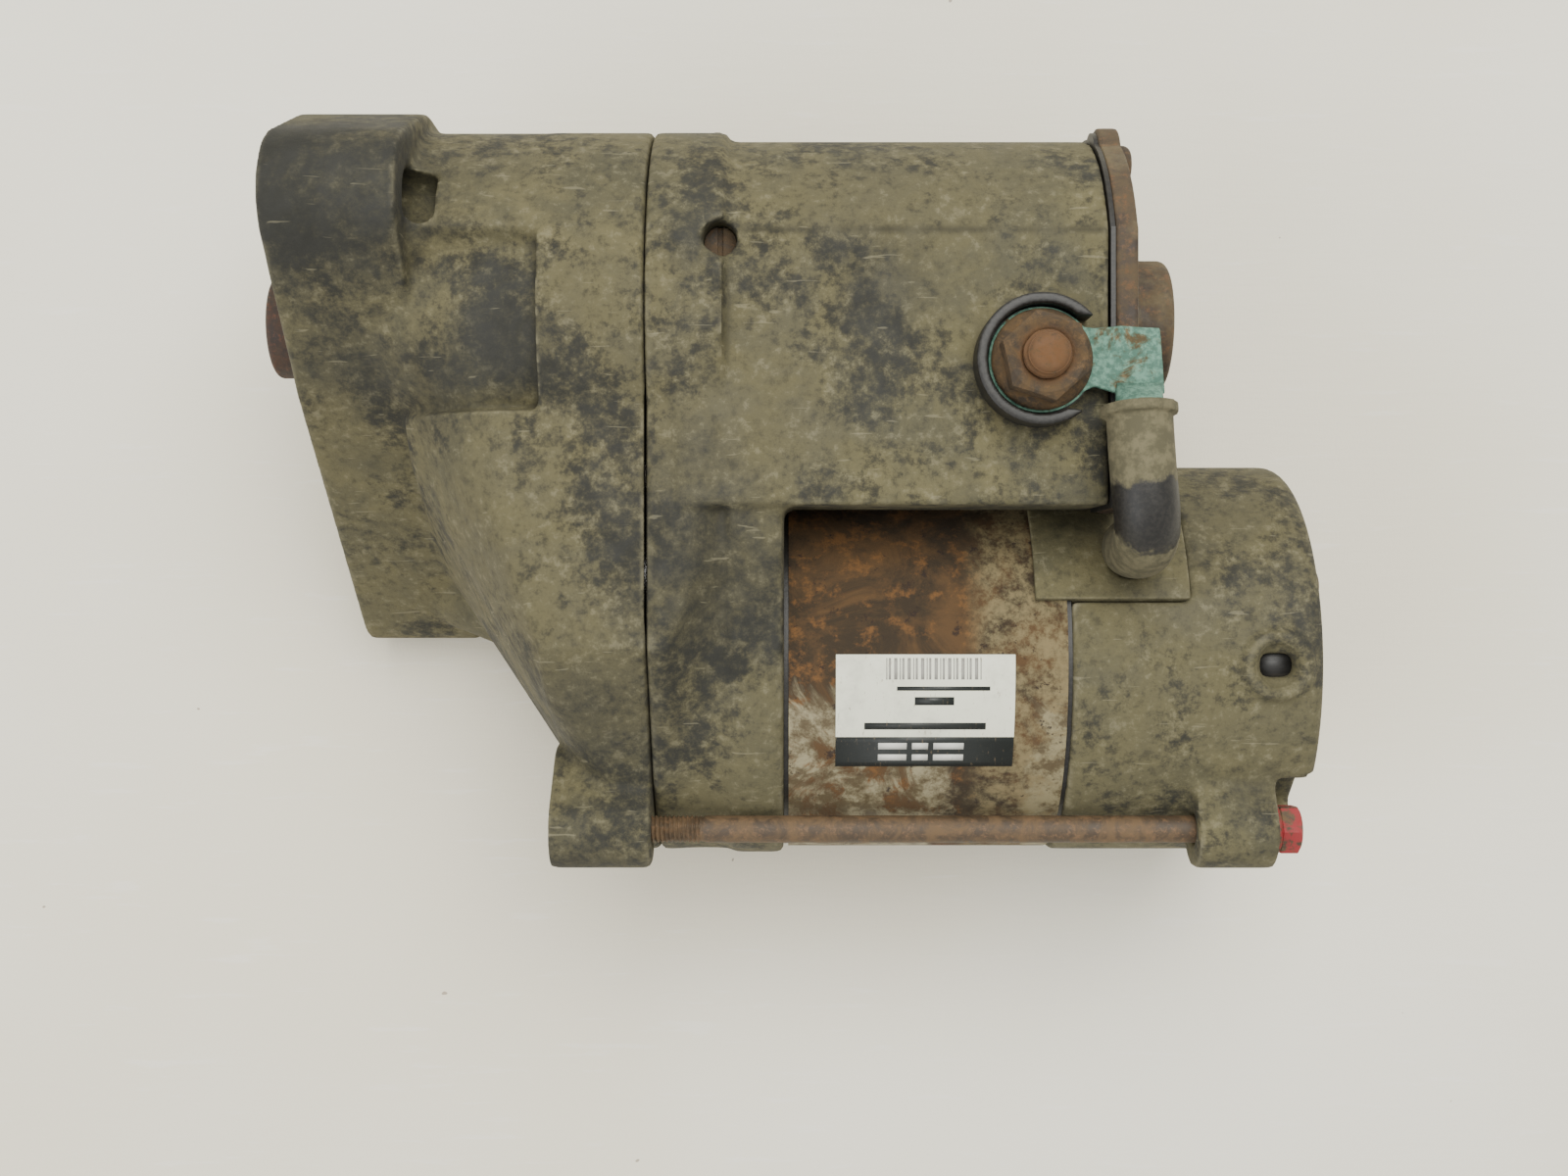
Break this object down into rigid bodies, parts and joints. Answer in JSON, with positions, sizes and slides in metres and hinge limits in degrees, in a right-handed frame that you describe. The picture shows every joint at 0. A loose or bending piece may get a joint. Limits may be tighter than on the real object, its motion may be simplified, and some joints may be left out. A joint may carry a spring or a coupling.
{
  "type": "starter motor",
  "caption": "Offset gear-reduction starter motor with an in-line solenoid, roller clutch, sliding pinion and two-bolt mounting flange.",
  "frame": {"origin": "where the pinion's axis meets the mounting face, which is where the ring gear is engaged", "axes": "+X along the pinion's axis to the rear of the motor, +Z towards the motor terminal's side, and the motor's body lies to -Y of the pinion's axis"},
  "size_m": [0.1899, 0.1354, 0.1009],
  "materials": {
    "cast_housing": "grimy die casting",
    "yoke_steel": "rusty painted steel",
    "cover_steel": "rusty steel plate",
    "rusty_bolt": "surface rust",
    "rusty_nut": "heavy rust",
    "collar_steel": "dark rusty steel",
    "clean_steel": "ground, oiled",
    "gear_steel": "hardened, greased",
    "spring_steel": "satin",
    "iron": "turned",
    "laminated_iron": "varnished stack",
    "magnet": "dull",
    "copper": "bare copper",
    "copper_wire": "enamelled copper",
    "verdigris_copper": "green corrosion",
    "carbon": "carbon",
    "plastic": "moulded",
    "rubber": "dusty",
    "gasket": "aged",
    "label": "printed, worn"
  },
  "bodies": {
    "housing": {"armature_bearing_outers": "clean_steel", "battery_terminal_insulator": "plastic", "battery_terminal_nut": "rusty_nut", "battery_terminal_stud": "rusty_nut", "brush_holder": "plastic", "brush_holder_screws": "rusty_bolt", "brush_springs": "spring_steel", "brushes": "carbon", "clutch_bearing_outers": "clean_steel", "coil_bobbin": "plastic", "coil_case": "iron", "drive_housing": "cast_housing", "end_cover": "cast_housing", "fixed_contacts": "copper", "front_core": "iron", "hold_in_coil": "copper_wire", "housing_screws": "rusty_bolt", "idler_pin": "clean_steel", "idler_rollers": "clean_steel", "lead_grommet": "rubber", "lead_lug": "verdigris_copper", "lead_sleeve": "rubber", "magnets": "magnet", "motor_lead": "copper", "motor_terminal_insulator": "plastic", "motor_terminal_nut": "rusty_nut", "motor_terminal_stud": "rusty_nut", "plug_screw": "rusty_bolt", "plunger_return_spring": "spring_steel", "pull_in_coil": "copper_wire", "rating_label": "label", "solenoid_cover": "cover_steel", "solenoid_cover_gasket": "gasket", "solenoid_cover_screws": "rusty_bolt", "solenoid_housing": "cast_housing", "switch_terminal_blade": "verdigris_copper", "switch_terminal_shroud": "plastic", "terminal_boot": "rubber", "through_bolts": "rusty_bolt", "yoke": "yoke_steel", "yoke_seals": "gasket"},
    "armature": {"armature_shaft": "clean_steel", "armature_core": "laminated_iron", "armature_windings": "copper_wire", "commutator": "copper", "armature_bearing_inners": "clean_steel"},
    "idler": {"idler_gear": "gear_steel"},
    "clutch_outer": {"clutch_gear": "gear_steel", "clutch_rollers": "clean_steel", "clutch_cover": "gear_steel"},
    "clutch_inner": {"clutch_hub": "clean_steel", "clutch_bearing_inners": "clean_steel", "pinion_spring": "spring_steel"},
    "pinion_slider": {"pinion": "gear_steel", "pinion_shaft": "clean_steel", "pinion_stop_collar": "collar_steel", "steel_ball": "clean_steel"},
    "plunger": {"plunger": "iron", "moving_contact": "copper", "contact_spring": "spring_steel"}
  },
  "joints": [
    {"name": "armature_spin", "type": "hinge", "parent": "housing", "child": "armature", "pos_m": [0.11, -0.0617, -0.015], "axis": [1, 0, 0], "continuous": true},
    {"name": "idler_spin", "type": "hinge", "parent": "housing", "child": "idler", "pos_m": [0.053, -0.04648, 0.0085], "axis": [1, 0, 0], "continuous": true},
    {"name": "clutch_spin", "type": "hinge", "parent": "housing", "child": "clutch_outer", "pos_m": [0.053, 0, 0], "axis": [1, 0, 0], "continuous": true},
    {"name": "clutch_overrun", "type": "hinge", "parent": "clutch_outer", "child": "clutch_inner", "pos_m": [0.053, 0, 0], "axis": [1, 0, 0], "continuous": true},
    {"name": "pinion_slide", "type": "slide", "parent": "clutch_inner", "child": "pinion_slider", "axis": [-1, 0, 0], "range_m": [0, 0.011], "deforming": ["pinion_spring"]},
    {"name": "plunger_slide", "type": "slide", "parent": "housing", "child": "plunger", "axis": [-1, 0, 0], "range_m": [0, 0.011], "stiffness_N_per_m": 1500, "springref_m": -0.006, "deforming": ["plunger_return_spring"]}
  ],
  "couplings": [
    {"joint": "idler_spin", "follows": "armature_spin", "ratio": -0.45455},
    {"joint": "clutch_spin", "follows": "armature_spin", "ratio": 0.3125},
    {"joint": "pinion_slide", "follows": "plunger_slide", "ratio": 1}
  ]
}
